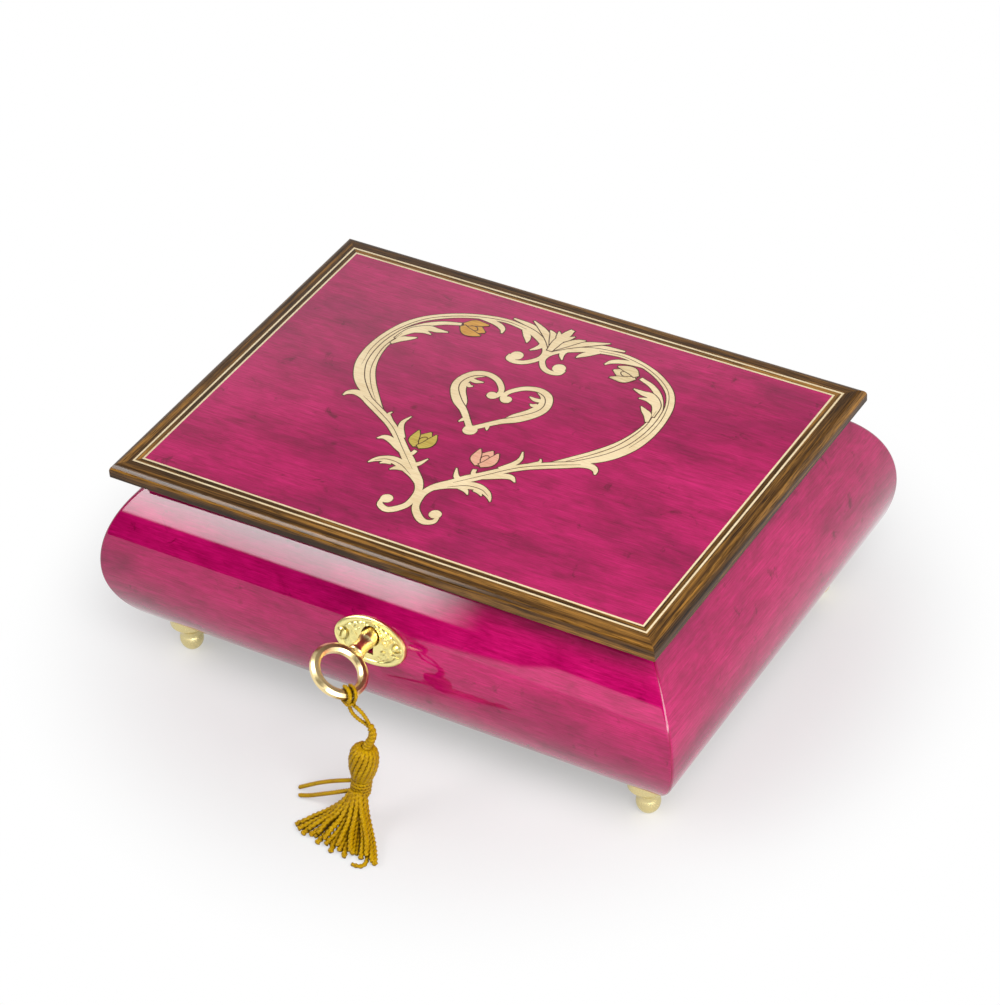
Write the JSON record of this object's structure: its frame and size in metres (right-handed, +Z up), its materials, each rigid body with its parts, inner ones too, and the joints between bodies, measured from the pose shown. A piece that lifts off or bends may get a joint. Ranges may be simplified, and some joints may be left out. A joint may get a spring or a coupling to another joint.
{
  "type": "wind up music box",
  "caption": "Bombe inlaid musical jewellery box with hinged lid, turning key and tassel, lined interior and a wind-up cylinder movement under a clear cover.",
  "frame": {"origin": "on the floor under the middle of the case, between the four feet", "axes": "+X along the length, +Z up, front with the lock towards -Y"},
  "size_m": [0.165, 0.1578, 0.065],
  "materials": {
    "veneer": "stained figured maple veneer under gloss lacquer",
    "lid_veneer": "stained figured maple veneer with inlay, gloss lacquer",
    "moulding": "dark hardwood, gloss lacquer",
    "stringing": "pale holly stringing under lacquer",
    "plain_wood": "plain stained wood",
    "brass": "polished brass",
    "steel": "ground steel",
    "cast_plate": "gold-painted cast plate",
    "fan": "moulded vane",
    "velvet": "velvet",
    "clear": "clear acrylic",
    "cord": "rayon cord"
  },
  "bodies": {
    "case": {"base_board": "plain_wood", "wall_front": "veneer", "wall_rear": "veneer", "wall_left": "veneer", "wall_right": "veneer", "foot_front_left": "brass", "foot_front_right": "brass", "foot_rear_left": "brass", "foot_rear_right": "brass", "partition": "plain_wood", "floor_lining": "velvet", "wall_lining": "velvet", "ring_rolls": "velvet", "movement_cover": "clear", "cover_battens": "plain_wood", "escutcheon": "brass", "escutcheon_screws": "brass", "lock_case": "brass", "hinge_case_leaves": "brass", "hinge_pins": "brass", "hinge_case_screws": "brass", "bedplate": "cast_plate", "barrel_bridge": "steel", "comb": "steel", "comb_bar": "brass", "comb_screws": "steel", "governor_frame": "cast_plate", "movement_screws": "steel"},
    "lid": {"lid_panel": "lid_veneer", "lid_moulding_front": "moulding", "lid_moulding_rear": "moulding", "lid_moulding_left": "moulding", "lid_moulding_right": "moulding", "lid_stringing": "stringing", "lid_pad": "velvet", "hinge_lid_leaves": "brass", "hinge_lid_screws": "brass", "lock_strike": "brass", "strike_screws": "brass"},
    "key": {"key": "brass", "tassel_knot": "cord"},
    "lock_hook": {"lock_hook": "brass"},
    "tassel": {"tassel_cord": "cord", "tassel_head": "cord", "tassel_binding": "cord", "tassel_skirt": "cord"},
    "winding": {"winding_arbor": "steel", "winding_key": "steel"},
    "barrel": {"spring_barrel": "brass", "barrel_cover": "brass", "mainspring": "steel"},
    "cylinder": {"pinned_cylinder": "brass", "cylinder_arbor": "steel", "cylinder_gear": "brass"},
    "governor": {"governor_wheel": "brass"},
    "fan": {"fan_worm": "steel", "fan_blades": "fan"},
    "stop": {"stop_rod": "brass"}
  },
  "joints": [
    {"name": "lid_hinge", "type": "hinge", "parent": "case", "child": "lid", "pos_m": [0, 0.0525, 0.0594], "axis": [-1, 0, 0], "range_deg": [0, 95]},
    {"name": "key_turn", "type": "hinge", "parent": "case", "child": "key", "pos_m": [-0.001, -0.0441, 0.04], "axis": [0, -1, 0], "range_deg": [-57, 33]},
    {"name": "hook_turn", "type": "hinge", "parent": "case", "child": "lock_hook", "pos_m": [-0.001, -0.0441, 0.04], "axis": [0, -1, 0], "range_deg": [-57, 33]},
    {"name": "tassel_swing", "type": "hinge", "parent": "key", "child": "tassel", "pos_m": [0.00357, -0.07955, 0.03703], "axis": [0, -1, 0], "range_deg": [-33, 57]},
    {"name": "winding_turn", "type": "hinge", "parent": "case", "child": "winding", "pos_m": [-0.0385, 0.012, 0.0017], "axis": [0, 0, 1], "range_deg": [0, 2250]},
    {"name": "barrel_spin", "type": "hinge", "parent": "case", "child": "barrel", "pos_m": [-0.0385, 0.012, 0.0173], "axis": [0, 0, 1], "continuous": true},
    {"name": "cylinder_spin", "type": "hinge", "parent": "case", "child": "cylinder", "pos_m": [-0.0385, -0.0032, 0.03119], "axis": [0, -1, 0], "continuous": true},
    {"name": "governor_spin", "type": "hinge", "parent": "case", "child": "governor", "pos_m": [-0.052, -0.0186, 0.03119], "axis": [0, -1, 0], "continuous": true},
    {"name": "fan_spin", "type": "hinge", "parent": "case", "child": "fan", "pos_m": [-0.0584, -0.0186, 0.0168], "axis": [0, 0, 1], "continuous": true},
    {"name": "stop_slide", "type": "slide", "parent": "case", "child": "stop", "axis": [0, 0, 1], "range_m": [0, 0.003]}
  ],
  "couplings": [
    {"joint": "hook_turn", "follows": "key_turn", "ratio": 1},
    {"joint": "tassel_swing", "follows": "key_turn", "ratio": -1},
    {"joint": "cylinder_spin", "follows": "barrel_spin", "ratio": 4},
    {"joint": "governor_spin", "follows": "barrel_spin", "ratio": -17.6},
    {"joint": "fan_spin", "follows": "barrel_spin", "ratio": -281.6},
    {"joint": "stop_slide", "follows": "lid_hinge", "m_per_rad": 0.001808}
  ]
}
